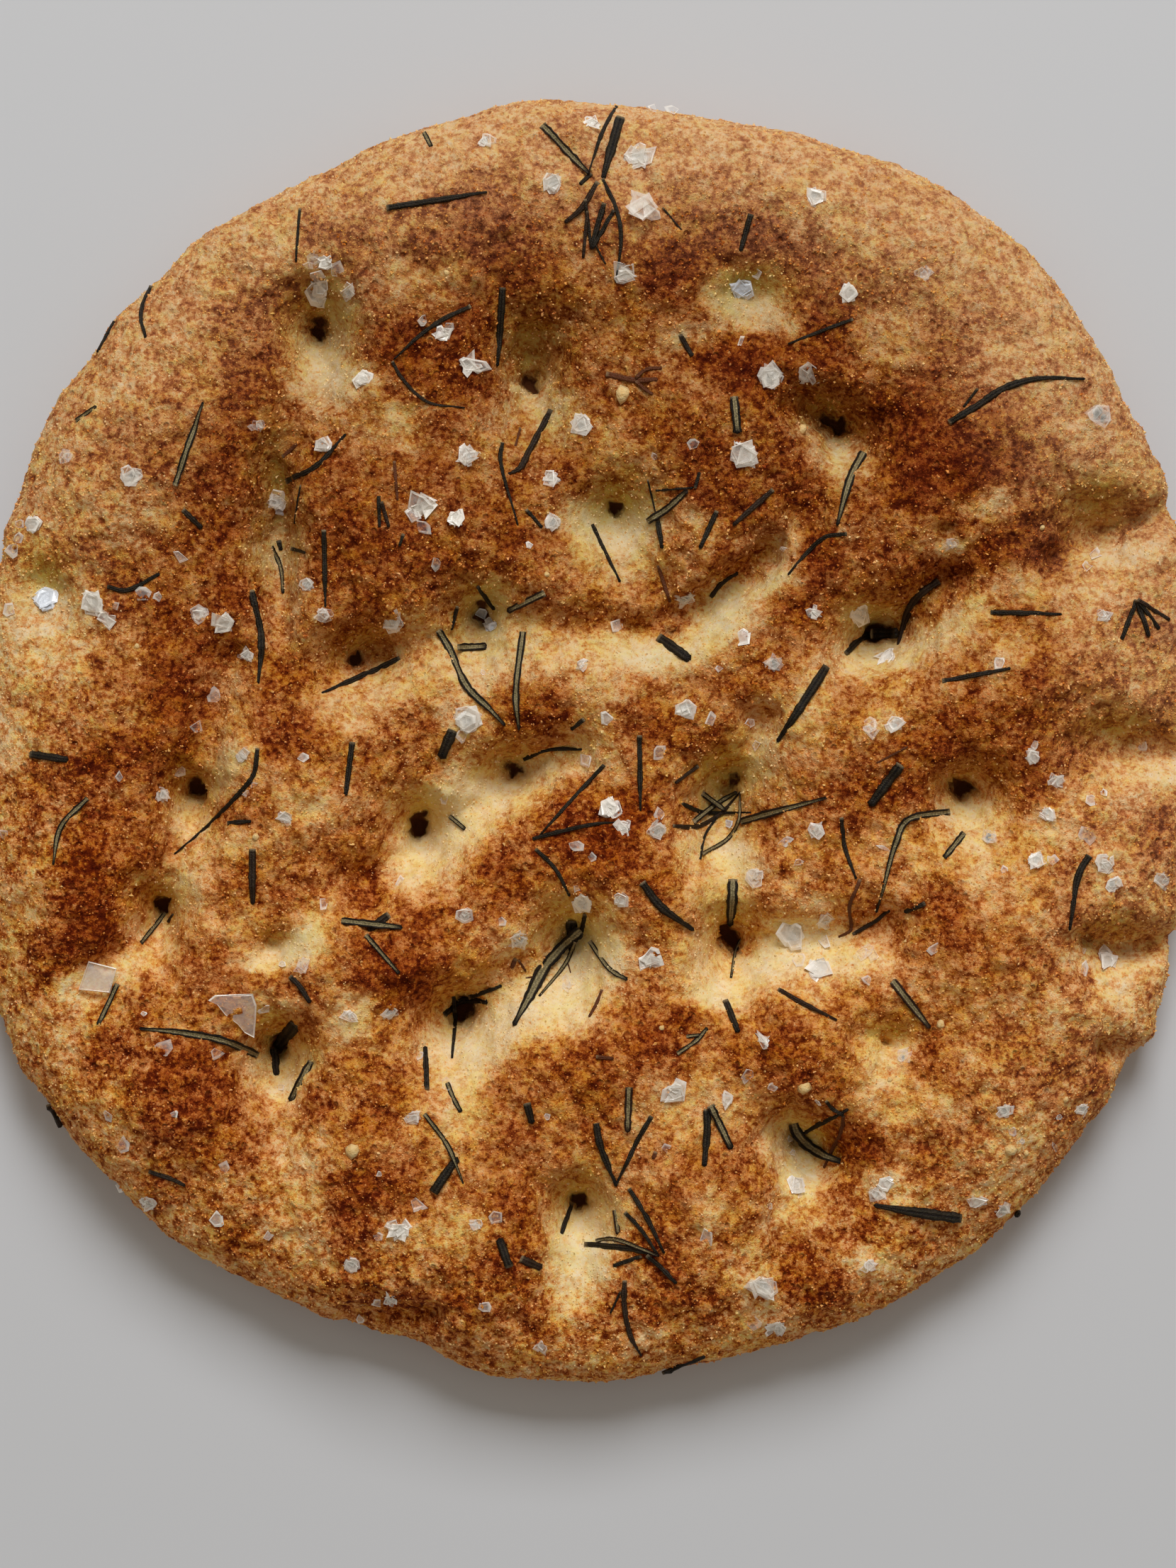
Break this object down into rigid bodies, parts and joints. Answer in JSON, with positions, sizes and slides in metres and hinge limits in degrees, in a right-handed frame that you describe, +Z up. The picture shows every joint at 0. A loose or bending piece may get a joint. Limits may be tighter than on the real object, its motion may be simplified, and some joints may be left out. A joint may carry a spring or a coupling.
{
  "type": "grain-free focaccia",
  "caption": "Round low loaf of grain-free focaccia with pressed finger dimples, rosemary needles and salt flakes baked into its crust.",
  "frame": {"origin": "middle of the loaf's outline seen from above, on the surface that it rests on", "axes": "+Z up out of the crust, +Y along the loaf's longest way across, towards the end with the fan of rosemary at its rim"},
  "size_m": [0.2598, 0.2725, 0.0281],
  "materials": {
    "crust": "baked golden brown crust, rough, paler in the dimples",
    "rosemary": "baked rosemary needle, nearly black, slightly oily",
    "salt": "coarse salt flake, milky and glossy",
    "crumb": "loose toasted crumb, rough"
  },
  "bodies": {
    "root": {"focaccia": "crust"}
  },
  "joints": []
}
